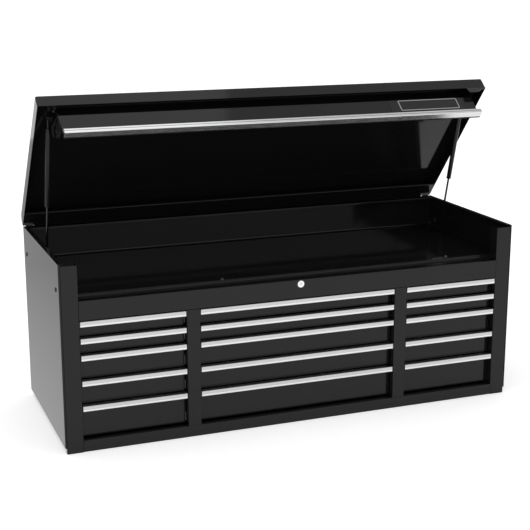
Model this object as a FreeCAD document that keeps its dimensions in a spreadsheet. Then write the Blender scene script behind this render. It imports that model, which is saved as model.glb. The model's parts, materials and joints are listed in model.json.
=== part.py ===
import FreeCAD, Part
import math
import os
import Sketcher
from types import SimpleNamespace

# Wide machinist tool chest: fifteen drawers under a shallow till with a hinged lid.
# The origin is at the middle of the base, +X is to the right seen from the front,
# the front looks along -Y, and +Z is up. Lengths are millimetres, angles degrees.
# The lid is modelled open, as it stands on its two gas struts.

SIZES = {
    # Case
    "case_width": 1676,
    "case_depth": 621,
    "base_height": 21,
    "gauge": 1.2,
    "overrun": 1,
    # Side panels
    "corner_radius": 5,
    "front_lip": 5.5,
    "side_hem": 17,
    "side_foot": 26,
    "hem_start": 9,
    "corner_relief": 10,
    "plug_radius": 8,
    "plug_hole_radius": 5,
    "plug_dome": 2.5,
    "plug_head": 1.5,
    "plug_stem": 8,
    "plug_inset": 51,
    "plug_drop": 93.5,
    # Front frame
    "stile_width": 56.5,
    "stile_drop": 6,
    "stile_return": 49,
    "stile_flange": 15,
    "bottom_rail_height": 40.5,
    "drawer_opening_height": 413.5,
    "top_rail_height": 67,
    "ledge_depth": 62,
    "rail_flange": 25,
    "mullion_width": 46,
    "centre_opening": 730,
    "bend_radius": 2,
    # Base pan, inner walls and back
    "pan_inset": 14,
    "wall_foot": 22,
    "back_flange": 40,
    "back_lip": 8,
    # Till
    "till_depth": 119.5,
    "riser_height": 7,
    "riser_setback": 2,
    "till_upturn": 12,
    "till_cove_radius": 6,
    "till_nose_radius": 1,
    # Hinge
    "hinge_offset": 3.6,
    "hinge_drop": 8.5,
    "hinge_inset": 26,
    "knuckle_radius": 3.2,
    "knuckle_length": 76,
    "knuckle_gap": 0.5,
    "pin_radius": 1.6,
    "pin_play": 0.05,
    "pin_head": 1.2,
    "leaf_thickness": 1.4,
    "leaf_width": 24,
    "leaf_relief": 0.8,
    # Lid
    "lid_open_angle": 50,
    "lid_clearance": 1,
    "lid_height": 47,
    "lid_front_overhang": 5,
    "lid_rear_overhang": 0.4,
    "lid_radius": 5.5,
    "lid_bevel": 20,
    "lid_rail_depth": 67,
    "lid_rail_lip": 6,
    "lid_rail_leg": 16,
    "tab_length": 83,
    "tab_height": 25,
    "tab_flare": 5,
    "tab_inner_slant": 3,
    "tab_chamfer": 46,
    # Front panel of the lid
    "panel_gap": 5,
    "panel_setback": 17,
    "panel_drop": 23,
    "panel_shelf": 34,
    "panel_foot": 6,
    "panel_weld_flange": 15,
    "cheek_thickness": 2,
    "cheek_length": 133,
    "cheek_corner_depth": 174,
    "cheek_radius": 33.5,
    "cheek_tail_low": 46,
    "cheek_tail_top": 12,
    "cheek_tail_slant": 10,
    "cheek_tail_radius": 8,
    "cheek_tab_length": 68,
    "cheek_notch_depth": 58,
    "cheek_notch_setback": 16,
    # Drawer and lid pulls
    "pull_height": 18.3,
    "pull_wall": 2,
    "pull_rounding": 1.8,
    "pull_return": 9,
    "pull_hook": 3,
    "pull_end_gap": 3,
    "lid_pull_reach": 6,
    # Drawers
    "drawer_gap": 3,
    "drawer_setback": 28,
    "drawer_rear_gap": 37,
    "drawer_foot_gap": 5.5,
    "shallow_pitch": 58,
    "medium_pitch": 87.5,
    "wall_drop": 8,
    "pan_bend_radius": 1.2,
    # Slides
    "slide_width": 12.7,
    "slide_height": 30,
    "slide_start": 8,
    "slide_rear_gap": 18,
    "slide_play": 0.5,
    "slide_outer_depth": 9.5,
    "slide_inner_depth": 9.5,
    "slide_lift": 4,
    # Lock
    "lock_drop": 15.5,
    "lock_flange_radius": 12.2,
    "lock_flange_thickness": 2.2,
    "lock_barrel_radius": 9.5,
    "lock_barrel_length": 22,
    "lock_nut_radius": 12,
    "lock_nut_thickness": 3,
    "lock_plug_radius": 6,
    "lock_plug_play": 0.05,
    "key_slot_width": 1.6,
    "key_slot_height": 7,
    "key_slot_depth": 12,
    "cam_gap": 0.4,
    "cam_thickness": 2,
    "cam_length": 13,
    "cam_width": 8,
    # Gas struts
    "strut_inset": 49,
    "strut_foot_from_front": 448,
    "strut_foot_lift": 15,
    "strut_head_from_front": 88,
    "strut_head_drop": 14,
    "eye_radius": 7,
    "eye_thickness": 8,
    "eye_play": 0.05,
    "stud_radius": 3.5,
    "stud_side_gap": 0.6,
    "rod_radius": 3.75,
    "rod_collar_radius": 6,
    "rod_collar_length": 22,
    "tube_radius": 8.75,
    "tube_length": 290,
    "collar_radius": 9.6,
    "collar_length": 29,
    "neck_radius": 5.2,
    "neck_length": 37,
    "tube_wall": 1.5,
    "tube_cap": 6,
    "tube_guide": 12,
    "rod_play": 0.05,
    "piston_play": 0.05,
    "piston_length": 14,
    "bracket_gap": 6,
    "bracket_thickness": 2.5,
    "bracket_length": 31,
    "bracket_foot": 13,
    "base_inner_reach": 21,
    "base_outer_reach": 22,
    "base_length": 20,
    "screw_radius": 3.6,
    "screw_head": 2.2,
    "screw_inset": 4.5,
}


class Size:
    """A number together with the sheet expression that gives it."""

    def __init__(self, value, text):
        self.value = float(value)
        self.text = text

    def __add__(self, other):
        other = as_size(other)
        return Size(self.value + other.value, "(%s + %s)" % (self.text, other.text))

    def __sub__(self, other):
        other = as_size(other)
        return Size(self.value - other.value, "(%s - %s)" % (self.text, other.text))

    def __mul__(self, factor):
        factor = as_size(factor)
        return Size(self.value * factor.value, "%s * %s" % (self.text, factor.text))

    def __truediv__(self, divisor):
        return Size(self.value / divisor, "%s / %s" % (self.text, divisor))

    def __neg__(self):
        return Size(-self.value, "-1 * %s" % self.text)

    __radd__ = __add__
    __rmul__ = __mul__


def as_size(number):
    """A plain factor or zero as a Size."""
    if isinstance(number, Size):
        return number
    return Size(number, "(%.9f)" % number)


def make_sheet(doc):
    """The driving dimensions as named cells of a spreadsheet."""
    sheet = doc.addObject("Spreadsheet::Sheet", "Sizes")
    for row, (alias, value) in enumerate(SIZES.items(), 1):
        sheet.set("A%d" % row, alias)
        sheet.set("B%d" % row, str(value))
        sheet.setAlias("B%d" % row, alias)
    doc.recompute()


doc = FreeCAD.newDocument("ToolChest")
make_sheet(doc)
V = SimpleNamespace(**{name: Size(value, "Sizes." + name) for name, value in SIZES.items()})
NONE = as_size(0)

# Levels and planes that several pieces share
HALF_WIDTH = V.case_width / 2
FRONT = -(V.case_depth / 2)
BACK = V.case_depth / 2
STILE_LINE = V.front_lip + V.stile_width
OPENING_EDGE = HALF_WIDTH - STILE_LINE
OPENING_TOP = V.bottom_rail_height + V.drawer_opening_height
LEDGE = OPENING_TOP + V.top_rail_height
TILL_FLOOR = LEDGE + V.riser_height
SIDE_TOP = TILL_FLOOR + V.till_depth
RISER = FRONT + V.ledge_depth - V.riser_setback
HINGE_Y = BACK + V.hinge_offset
HINGE_Z = SIDE_TOP - V.hinge_drop

# The lid's pieces are drawn closed, about an origin on the hinge axis
LID_BOTTOM = V.lid_clearance + V.hinge_drop
LID_TOP = LID_BOTTOM + V.lid_height
LID_FRONT = FRONT - V.lid_front_overhang - HINGE_Y
LID_REAR = BACK + V.lid_rear_overhang - HINGE_Y
PANEL_FRONT = FRONT + V.panel_setback - HINGE_Y
PANEL_TOP = LID_BOTTOM - V.panel_drop
PANEL_BOTTOM = LEDGE + V.panel_gap - HINGE_Z
PANEL_HALF_WIDTH = OPENING_EDGE - V.panel_gap

SUB_PARTS = []
PLANES = {"X": "YZ_Plane", "Y": "XZ_Plane", "Z": "XY_Plane"}
IN_PLANE = {"X": ("y", "z"), "Y": ("x", "z"), "Z": ("x", "y")}
NEAR_SHARE = 1e-5


def bind(target, name, size):
    """Tie a property of a document object to the sheet."""
    target.setExpression(name, size.text)


def keep(piece, label):
    """Name a finished sub-part and list it for writing."""
    piece.Label = label
    SUB_PARTS.append(piece)
    return piece


def new_body(name):
    return doc.addObject("PartDesign::Body", name)


def new_sketch(body, axis, start):
    """An empty sketch square to an axis of the body, at a distance along it."""
    sketch = body.newObject("Sketcher::SketchObject", "Outline")
    plane = [item for item in body.Origin.OriginFeatures if item.Role == PLANES[axis]][0]
    sketch.AttachmentSupport = (plane, [""])
    sketch.MapMode = "FlatFace"
    bind(sketch, "AttachmentOffset.Base.z", -start if axis == "Y" else start)
    return sketch


def pin_point(sketch, geometry, end, point):
    """Hold one point of a sketch at two sizes from its origin."""
    for kind, size in zip(("DistanceX", "DistanceY"), point):
        if size.value == 0:
            across = "PointOnObject"
            line = -2 if kind == "DistanceX" else -1
            sketch.addConstraint(Sketcher.Constraint(across, geometry, end, line))
        else:
            number = sketch.addConstraint(Sketcher.Constraint(kind, geometry, end, size.value))
            sketch.setExpression("Constraints[%d]" % number, size.text)


def draw_outline(sketch, outline):
    """A closed outline of straight sides through points given as pairs of sizes."""
    count = len(outline)
    corners = [FreeCAD.Vector(across.value, up.value, 0) for across, up in outline]
    for number in range(count):
        side = Part.LineSegment(corners[number], corners[(number + 1) % count])
        sketch.addGeometry(side, False)
    for number in range(count):
        following = (number + 1) % count
        sketch.addConstraint(Sketcher.Constraint("Coincident", number, 2, following, 1))
    for number, point in enumerate(outline):
        pin_point(sketch, number, 1, point)


def draw_circle(sketch, centre, radius):
    """A circle added to a sketch."""
    middle = FreeCAD.Vector(centre[0].value, centre[1].value, 0)
    number = sketch.addGeometry(Part.Circle(middle, FreeCAD.Vector(0, 0, 1), radius.value), False)
    pin_point(sketch, number, 3, centre)
    constraint = sketch.addConstraint(Sketcher.Constraint("Radius", number, radius.value))
    sketch.setExpression("Constraints[%d]" % constraint, radius.text)


def raise_profile(body, sketch, axis, length, kind):
    """Pad or pocket a sketch towards the positive end of its axis."""
    feature = body.newObject("PartDesign::" + kind, kind)
    feature.Profile = sketch
    feature.Reversed = (axis == "Y") != (kind == "Pocket")
    bind(feature, "Length", length)
    body.Tip = feature
    return feature


def pad(body, axis, outline, ends):
    """Material with a straight-sided outline between two places along an axis."""
    low, high = sorted(ends, key=lambda size: size.value)
    sketch = new_sketch(body, axis, low)
    draw_outline(sketch, outline)
    return raise_profile(body, sketch, axis, high - low, "Pad")


def pocket(body, axis, outline, ends):
    """Material taken away within an outline between two places along an axis."""
    low, high = sorted(ends, key=lambda size: size.value)
    sketch = new_sketch(body, axis, low)
    draw_outline(sketch, outline)
    doc.recompute()
    before = body.Shape.Volume
    feature = raise_profile(body, sketch, axis, high - low, "Pocket")
    doc.recompute()
    assert body.Shape.Volume < before, body.Name
    return feature


def rod(body, axis, centre, radius, ends):
    """A round bar between two places along an axis."""
    low, high = sorted(ends, key=lambda size: size.value)
    sketch = new_sketch(body, axis, low)
    draw_circle(sketch, centre, radius)
    return raise_profile(body, sketch, axis, high - low, "Pad")


def bore(body, axis, centre, radius, ends):
    """A round hole between two places along an axis."""
    low, high = sorted(ends, key=lambda size: size.value)
    sketch = new_sketch(body, axis, low)
    draw_circle(sketch, centre, radius)
    doc.recompute()
    before = body.Shape.Volume
    feature = raise_profile(body, sketch, axis, high - low, "Pocket")
    doc.recompute()
    assert body.Shape.Volume < before, body.Name
    return feature


def rectangle(low, high):
    """The four corners between two opposite ones."""
    return [low, (high[0], low[1]), high, (low[0], high[1])]


def folded(path, thickness):
    """The outline of a folded sheet: its outer face's path, then its inner face's."""
    normals = []
    for (x0, y0), (x1, y1) in zip(path, path[1:]):
        run = (x1.value - x0.value, y1.value - y0.value)
        length = math.hypot(*run)
        normals.append((-run[1] / length, run[0] / length))
    inner = []
    for number, (across, up) in enumerate(path):
        first = normals[max(number - 1, 0)]
        second = normals[min(number, len(normals) - 1)]
        spread = 1 + first[0] * second[0] + first[1] * second[1]
        shift = [(first[part] + second[part]) / spread for part in (0, 1)]
        inner.append((across + thickness * shift[0], up + thickness * shift[1]))
    return path + inner[::-1]


def round_edges(body, axis, points, radius):
    """Round the edges that run along an axis through the given points of its plane."""
    doc.recompute()
    feature = body.Tip
    first, second = IN_PLANE[axis]
    tolerance = V.case_width.value * NEAR_SHARE
    names = []
    for number, edge in enumerate(feature.Shape.Edges, 1):
        for across, up in points:
            wanted = (across.value, up.value)
            corners = [vertex.Point for vertex in edge.Vertexes]
            ends = [(getattr(corner, first), getattr(corner, second)) for corner in corners]
            if len(ends) == 2 and all(math.dist(end, wanted) < tolerance for end in ends):
                names.append("Edge%d" % number)
    assert names, body.Name
    fillet = body.newObject("PartDesign::Fillet", "Bend")
    fillet.Base = (feature, names)
    bind(fillet, "Radius", radius)
    body.Tip = fillet
    doc.recompute()
    return fillet


def turns_left(before, corner, after):
    """Whether a path turns to its left at a corner."""
    run = (corner[0].value - before[0].value, corner[1].value - before[1].value)
    onward = (after[0].value - corner[0].value, after[1].value - corner[1].value)
    return run[0] * onward[1] - run[1] * onward[0] > 0


def folded_body(name, axis, path, ends):
    """A body bent from sheet along one axis, with every bend rounded inside and out."""
    body = new_body(name)
    outline = folded(path, V.gauge)
    pad(body, axis, outline, ends)
    other_face = outline[len(path):][::-1]
    inside = []
    outside = []
    for number in range(1, len(path) - 1):
        left = turns_left(*path[number - 1:number + 2])
        inside.append(other_face[number] if left else path[number])
        outside.append(path[number] if left else other_face[number])
    round_edges(body, axis, inside, V.bend_radius)
    round_edges(body, axis, outside, V.bend_radius + V.gauge)
    return body


def add_group(name, pieces):
    """Several loose solids that share one node."""
    group = doc.addObject("Part::Compound", name)
    group.Links = pieces
    return group


def add_pair(name, make):
    """A left and a right solid that share one node."""
    return add_group(name, [make(side) for side in (-1, 1)])


def side_name(side):
    return "left" if side < 0 else "right"


# Case


def make_side_panel(side):
    """A side: its wall with a lip round the front corner, a hem on top and a foot."""
    body = new_body("SidePanel")
    outer = HALF_WIDTH * side
    inner = (HALF_WIDTH - V.gauge) * side
    bottom = V.base_height
    wall_ends = (bottom, SIDE_TOP)
    lip_edge = (HALF_WIDTH - V.front_lip) * side
    lip_back = FRONT + V.gauge
    plan = [(outer, BACK), (outer, FRONT), (lip_edge, FRONT), (lip_edge, lip_back), (inner, lip_back),
            (inner, BACK)]
    pad(body, "Z", plan, wall_ends)
    hem_edge = (HALF_WIDTH - V.side_hem) * side
    hem_ends = (FRONT + V.hem_start, BACK - V.back_flange)
    pad(body, "Y", rectangle((inner, SIDE_TOP - V.gauge), (hem_edge, SIDE_TOP)), hem_ends)
    foot_edge = (HALF_WIDTH - V.side_foot) * side
    foot_ends = (FRONT + V.stile_return, BACK - V.gauge)
    pad(body, "Y", rectangle((inner, bottom), (foot_edge, bottom + V.gauge)), foot_ends)
    round_edges(body, "Z", [(inner, lip_back)], V.corner_radius - V.gauge)
    round_edges(body, "Z", [(outer, FRONT)], V.corner_radius)
    round_edges(body, "Y", [(inner, SIDE_TOP - V.gauge)], V.bend_radius)
    for from_end in plug_places():
        bore(body, "X", (from_end, plug_level()), V.plug_hole_radius,
             (inner - V.overrun * side, outer + V.overrun * side))
    keep(body, "side_panel_" + side_name(side))


def plug_places():
    """Where the hole plugs sit along a side, front and back."""
    return (FRONT + V.plug_inset, BACK - V.plug_inset)


def plug_level():
    return SIDE_TOP - V.plug_drop


def make_side_plugs():
    """Press-in plugs that close the four holes in the sides."""
    plugs = []
    for side in (-1, 1):
        for from_end in plug_places():
            body = new_body("SidePlug")
            centre = (from_end, plug_level())
            face = HALF_WIDTH * side
            rod(body, "X", centre, V.plug_radius, (face, (HALF_WIDTH + V.plug_head) * side))
            rod(body, "X", centre, V.plug_hole_radius,
                ((HALF_WIDTH - V.plug_stem) * side, (HALF_WIDTH + V.plug_dome) * side))
            plugs.append(body)
    keep(add_group("SidePlugs", plugs), "side_plugs")


def make_stile(side):
    """A front upright: a channel that the rails butt against."""
    outer = (HALF_WIDTH - V.front_lip) * side
    inner = OPENING_EDGE * side
    path = [(outer, FRONT + V.stile_flange), (outer, FRONT), (inner, FRONT), (inner, FRONT + V.stile_return)]
    if side > 0:
        path = path[::-1]
    ends = (NONE, SIDE_TOP - V.stile_drop)
    body = folded_body("Stile", "Z", path, ends)
    keep(body, "front_stile_" + side_name(side))


def make_bottom_rail():
    """The lower rail of the front frame, a channel open to the back."""
    path = [(FRONT + V.rail_flange, V.bottom_rail_height), (FRONT, V.bottom_rail_height), (FRONT, NONE),
            (FRONT + V.stile_return, NONE)]
    body = folded_body("BottomRail", "X", path, (-OPENING_EDGE, OPENING_EDGE))
    keep(body, "bottom_rail")


def make_top_rail():
    """The upper rail, whose top flange is the ledge in front of the till."""
    path = [(FRONT + V.ledge_depth, LEDGE), (FRONT, LEDGE), (FRONT, OPENING_TOP),
            (FRONT + V.rail_flange, OPENING_TOP)]
    body = folded_body("TopRail", "X", path, (-OPENING_EDGE, OPENING_EDGE))
    through = (FRONT - V.overrun, FRONT + V.gauge + V.overrun)
    bore(body, "Y", lock_centre(), V.lock_barrel_radius + V.lock_plug_play, through)
    keep(body, "top_rail")


def make_divider(side):
    """A partition between two banks of drawers, closed at the front by its mullion."""
    near = V.centre_opening / 2 * side
    far = (V.centre_opening / 2 + V.mullion_width) * side
    step = V.gauge * side
    body = new_body("Divider")
    split = FRONT + V.ledge_depth
    plan = [(near, split), (near, FRONT), (far, FRONT), (far, split), (far - step, split),
            (far - step, FRONT + V.gauge), (near + step, FRONT + V.gauge), (near + step, split)]
    pad(body, "Z", plan, (V.bottom_rail_height, OPENING_TOP))
    top = TILL_FLOOR - V.gauge
    rear = BACK - V.side_foot
    for low, high in ((near, near + step), (far - step, far)):
        pad(body, "Z", rectangle((low, split), (high, rear)), (V.gauge, top))
    round_edges(body, "Z", [(near, FRONT), (far, FRONT)], V.bend_radius)
    keep(body, "divider_" + side_name(side))


def inner_wall(side):
    """The liner beside an outer bank of drawers, which carries its outer slides."""
    inner = OPENING_EDGE * side
    foot = (OPENING_EDGE + V.wall_foot) * side
    top = TILL_FLOOR - V.gauge
    path = [(foot, V.gauge), (inner, V.gauge), (inner, top), (foot, top)]
    if side > 0:
        path = path[::-1]
    ends = (FRONT + V.stile_return + V.gauge, BACK - V.side_foot)
    return folded_body("InnerWall", "Y", path, ends)


def make_base_pan():
    """The shallow tray that the chest stands on."""
    body = new_body("BasePan")
    half = HALF_WIDTH - V.pan_inset
    front = FRONT + V.stile_return
    rear = BACK - V.pan_inset
    pad(body, "Z", rectangle((-half, front), (half, rear)), (NONE, V.base_height))
    inner = half - V.gauge
    hollow = rectangle((-inner, front + V.gauge), (inner, rear - V.gauge))
    pocket(body, "Z", hollow, (V.gauge, V.base_height + V.overrun))
    inner_rear = rear - V.gauge
    round_edges(body, "Z", [(-inner, inner_rear), (inner, inner_rear)], V.corner_radius - V.gauge)
    round_edges(body, "Z", [(-half, rear), (half, rear)], V.corner_radius)
    keep(body, "base_pan")


def make_back_panel():
    """The back, with a foot, a wide top flange and a lip that stiffens it."""
    body = new_body("BackPanel")
    half = HALF_WIDTH - V.gauge
    wall = rectangle((BACK - V.gauge, V.base_height), (BACK, SIDE_TOP))
    pad(body, "X", wall, (-half, half))
    flange_half = HALF_WIDTH - V.corner_relief
    front = BACK - V.back_flange
    under = SIDE_TOP - V.gauge
    lip = SIDE_TOP - V.back_lip
    flange = [(BACK - V.gauge, SIDE_TOP), (front, SIDE_TOP), (front, lip), (front + V.gauge, lip),
              (front + V.gauge, under), (BACK - V.gauge, under)]
    pad(body, "X", flange, (-flange_half, flange_half))
    foot = rectangle((BACK - V.side_foot, V.base_height), (BACK - V.gauge, V.base_height + V.gauge))
    foot_half = HALF_WIDTH - V.side_foot
    pad(body, "X", foot, (-foot_half, foot_half))
    round_edges(body, "X", [(front, SIDE_TOP)], V.bend_radius)
    keep(body, "back_panel")


def make_till_floor():
    """The till's floor: a riser at the front and an upturned edge on the other sides."""
    body = new_body("TillFloor")
    half = HALF_WIDTH - V.gauge
    rear = BACK - V.gauge
    under = TILL_FLOOR - V.gauge
    low_corner = (RISER, under)
    pad(body, "X", rectangle(low_corner, (rear, TILL_FLOOR)), (-half, half))
    rim = TILL_FLOOR + V.till_upturn
    pad(body, "X", rectangle((rear - V.gauge, TILL_FLOOR), (rear, rim)), (-half, half))
    for side in (-1, 1):
        edge = rectangle(((half - V.gauge) * side, TILL_FLOOR), (half * side, rim))
        pad(body, "Y", edge, (RISER, rear))
    riser = rectangle((RISER, LEDGE), (RISER + V.gauge, under))
    pad(body, "X", riser, (-OPENING_EDGE, OPENING_EDGE))
    round_edges(body, "X", [(rear - V.gauge, TILL_FLOOR)], V.till_cove_radius)
    corners = [((half - V.gauge) * side, TILL_FLOOR) for side in (-1, 1)]
    round_edges(body, "Y", corners, V.till_cove_radius)
    round_edges(body, "X", [(RISER, TILL_FLOOR)], V.till_nose_radius)
    keep(body, "till_floor")


# Drawers and their slides


def banks():
    """Each bank's name with the left and right faces of its opening."""
    centre = V.centre_opening / 2
    inner = centre + V.mullion_width
    return (("left", -OPENING_EDGE, -inner), ("centre", -centre, centre), ("right", inner, OPENING_EDGE))


def drawer_levels():
    """The top and bottom of each drawer front, from the top drawer down."""
    levels = []
    top = OPENING_TOP - V.drawer_gap
    for pitch in (V.shallow_pitch, V.shallow_pitch, V.medium_pitch, V.medium_pitch):
        levels.append((top, top - pitch + V.drawer_gap))
        top = top - pitch
    levels.append((top, V.bottom_rail_height + V.drawer_foot_gap))
    return levels


def slide_centre(bottom):
    return bottom + V.slide_lift + V.slide_height / 2


def slide_ends():
    """Where the slides begin and end along the drawers' travel."""
    start = FRONT + V.drawer_setback + V.slide_start
    return start, BACK - V.drawer_rear_gap - V.slide_rear_gap


def channel(name, wall, towards, depth, height, middle):
    """One member of a slide: a channel whose web lies on a wall."""
    near = wall + V.gauge * towards
    far = wall + depth * towards
    top = middle + height / 2
    bottom = middle - height / 2
    outline = [(wall, bottom), (far, bottom), (far, bottom + V.gauge), (near, bottom + V.gauge),
               (near, top - V.gauge), (far, top - V.gauge), (far, top), (wall, top)]
    body = new_body(name)
    pad(body, "Y", outline, slide_ends())
    return body


def make_slide_channels():
    """The outer slide members on the case's walls, two beside every drawer."""
    channels = []
    for name, left, right in banks():
        for top, bottom in drawer_levels():
            for wall, towards in ((left, 1), (right, -1)):
                channels.append(channel("SlideChannel", wall, towards, V.slide_outer_depth, V.slide_height,
                                        slide_centre(bottom)))
    keep(add_group("SlideChannels", channels), "slide_channels")


def make_drawer(name, left, right, top, bottom):
    """A drawer: its pan, its front sheet and the slide members on its sides."""
    face = FRONT + V.drawer_setback
    inside = face + V.gauge
    rear = BACK - V.drawer_rear_gap
    pan_left = left + V.slide_width
    pan_right = right - V.slide_width
    wall_top = top - V.wall_drop
    pan = new_body("DrawerPan")
    pad(pan, "Z", rectangle((pan_left, inside), (pan_right, rear)), (bottom, wall_top))
    hollow = rectangle((pan_left + V.gauge, inside + V.gauge), (pan_right - V.gauge, rear - V.gauge))
    pocket(pan, "Z", hollow, (bottom + V.gauge, wall_top + V.overrun))
    sheet = rectangle((left + V.pull_end_gap, bottom), (right - V.pull_end_gap, top - V.pull_wall))
    pad(pan, "Y", sheet, (face, inside))
    round_edges(pan, "Y", [(pan_left, bottom), (pan_right, bottom)], V.pan_bend_radius)
    height = V.slide_height - (V.gauge + V.slide_play) * 2
    middle = slide_centre(bottom)
    members = [channel("SlideMember", pan_left, -1, V.slide_inner_depth, height, middle),
               channel("SlideMember", pan_right, 1, V.slide_inner_depth, height, middle)]
    keep(add_group("Drawer", [pan] + members), "drawer_" + name)


def pull_outline(front, rear, top, bottom_reach):
    """The section of the pulls' extrusion: a top flange, a front face and a return."""
    wall = V.pull_wall
    bottom = top - V.pull_height
    path = [(front + bottom_reach, bottom + V.pull_hook), (front + bottom_reach, bottom), (front, bottom),
            (front, top), (rear, top)]
    return folded(path[::-1], wall)


def make_drawer_pull(name, left, right, top):
    """The full-width pull along a drawer's top edge."""
    body = new_body("Pull")
    rear = FRONT + V.drawer_setback + V.gauge
    outline = pull_outline(FRONT, rear, top, V.pull_return)
    pad(body, "X", outline, (left + V.pull_end_gap, right - V.pull_end_gap))
    bottom = top - V.pull_height
    round_edges(body, "X", [(FRONT, top), (FRONT, bottom)], V.pull_rounding)
    keep(body, "pull_" + name)


def make_drawers():
    for name, left, right in banks():
        for number, (top, bottom) in enumerate(drawer_levels(), 1):
            full_name = "%s_%d" % (name, number)
            make_drawer(full_name, left, right, top, bottom)
            make_drawer_pull(full_name, left, right, top)


# Lock


def lock_centre():
    return (NONE, LEDGE - V.lock_drop)


def make_lock_body():
    """The lock's housing: a flange in front of the rail, a barrel and its nut."""
    body = new_body("LockBody")
    centre = lock_centre()
    end = FRONT + V.lock_barrel_length
    rod(body, "Y", centre, V.lock_flange_radius, (FRONT - V.lock_flange_thickness, FRONT))
    rod(body, "Y", centre, V.lock_barrel_radius, (FRONT, end))
    nut_front = FRONT + V.gauge
    rod(body, "Y", centre, V.lock_nut_radius, (nut_front, nut_front + V.lock_nut_thickness))
    front = FRONT - V.lock_flange_thickness
    bore(body, "Y", centre, V.lock_plug_radius + V.lock_plug_play, (front - V.overrun, end + V.overrun))
    keep(body, "lock_body")


def make_lock_plug():
    """The turning plug, with its key slot in front and its cam behind."""
    body = new_body("LockPlug")
    middle, height = lock_centre()
    front = FRONT - V.lock_flange_thickness
    cam_front = FRONT + V.lock_barrel_length + V.cam_gap
    rod(body, "Y", (middle, height), V.lock_plug_radius, (front, cam_front))
    half = V.cam_width / 2
    arm = rectangle((-half, height - half), (half, height + V.cam_length))
    pad(body, "Y", arm, (cam_front, cam_front + V.cam_thickness))
    slot = rectangle((-(V.key_slot_width / 2), height - V.key_slot_height / 2),
                     (V.key_slot_width / 2, height + V.key_slot_height / 2))
    pocket(body, "Y", slot, (front - V.overrun, front + V.key_slot_depth))
    keep(body, "lock_plug")


# Hinge


def hang_on_lid(piece):
    """Turn a piece that is drawn closed about the hinge axis to the open lid's place."""
    piece.Placement = FreeCAD.Placement(
        FreeCAD.Vector(0, HINGE_Y.value, HINGE_Z.value),
        FreeCAD.Rotation(FreeCAD.Vector(1, 0, 0), -V.lid_open_angle.value))
    bind(piece, "Placement.Base.y", HINGE_Y)
    bind(piece, "Placement.Base.z", HINGE_Z)
    return piece


def knuckle_count():
    """How many knuckles fit along the hinge, made odd so that both ends are the case's."""
    room = (HALF_WIDTH - V.hinge_inset).value * 2
    count = int(room // V.knuckle_length.value)
    return count if count % 2 else count - 1


def knuckle_row(body, numbers, leaf_side, seat, start):
    """Knuckles with their webs, one at each of the given stations."""
    first = numbers[0]
    pitch = V.knuckle_length
    left = start + pitch * first
    ends = (left, left + pitch - V.knuckle_gap)
    knuckle = rod(body, "X", (NONE, NONE), V.knuckle_radius, ends)
    reach = (V.knuckle_radius + V.leaf_relief) * leaf_side
    web = pad(body, "X", rectangle((seat, NONE), (seat + V.leaf_thickness, reach)), ends)
    doc.recompute()
    row = body.newObject("PartDesign::LinearPattern", "Row")
    row.Originals = [knuckle, web]
    x_axis = [item for item in body.Origin.OriginFeatures if item.Role == "X_Axis"][0]
    row.Direction = (x_axis, [""])
    bind(row, "Length", pitch * 2 * (len(numbers) - 1))
    row.Occurrences = len(numbers)
    body.Tip = row
    doc.recompute()
    bore(body, "X", (NONE, NONE), V.pin_radius + V.pin_play, (-HALF_WIDTH, HALF_WIDTH))


def make_hinge():
    """A continuous hinge: a leaf on the case's back, a leaf on the lid and its pin."""
    count = knuckle_count()
    half = V.knuckle_length * count / 2
    near = V.knuckle_radius + V.leaf_relief
    for label, leaf_side, seat in (("hinge_leaf_case", -1, -V.hinge_offset), ("hinge_leaf_lid", 1, LID_REAR)):
        body = new_body("HingeLeaf")
        leaf = rectangle((seat, near * leaf_side), (seat + V.leaf_thickness, V.leaf_width * leaf_side))
        pad(body, "X", leaf, (-half, half - V.knuckle_gap))
        first = 1 if leaf_side > 0 else 0
        knuckle_row(body, list(range(first, count, 2)), leaf_side, seat, -half)
        if leaf_side > 0:
            hang_on_lid(body)
        else:
            body.Placement.Base = FreeCAD.Vector(0, HINGE_Y.value, HINGE_Z.value)
            bind(body, "Placement.Base.y", HINGE_Y)
            bind(body, "Placement.Base.z", HINGE_Z)
        keep(body, label)
    pin = new_body("HingePin")
    centre = (HINGE_Y, HINGE_Z)
    rod(pin, "X", centre, V.pin_radius, (-half, half))
    for side in (-1, 1):
        end = half if side > 0 else -half
        rod(pin, "X", centre, V.knuckle_radius, (end, end + V.pin_head * side))
    keep(pin, "hinge_pin")


# Lid


def make_lid_shell():
    """The lid: a shallow folded pan, bevelled along its rear top edge."""
    body = new_body("LidShell")
    corner = LID_REAR - V.lid_bevel
    shoulder = LID_TOP - V.lid_bevel
    outline = [(LID_FRONT, LID_BOTTOM), (LID_FRONT, LID_TOP), (corner, LID_TOP), (LID_REAR, shoulder),
               (LID_REAR, LID_BOTTOM)]
    pad(body, "X", outline, (-HALF_WIDTH, HALF_WIDTH))
    lining = folded(outline[::-1], V.gauge)[len(outline):]
    below = LID_BOTTOM - V.overrun
    hollow = [(lining[0][0], below)] + lining[1:-1] + [(lining[-1][0], below)]
    half = HALF_WIDTH - V.gauge
    pocket(body, "X", hollow, (-half, half))
    inner_front, inner_top = lining[1]
    round_edges(body, "X", [(inner_front, inner_top)], V.lid_radius - V.gauge)
    round_edges(body, "Y", [(-half, inner_top), (half, inner_top)], V.lid_radius - V.gauge)
    round_edges(body, "X", [(LID_FRONT, LID_TOP)], V.lid_radius)
    round_edges(body, "Y", [(-HALF_WIDTH, LID_TOP), (HALF_WIDTH, LID_TOP)], V.lid_radius)
    lid_tab(body)
    keep(hang_on_lid(body), "lid_shell")


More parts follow.
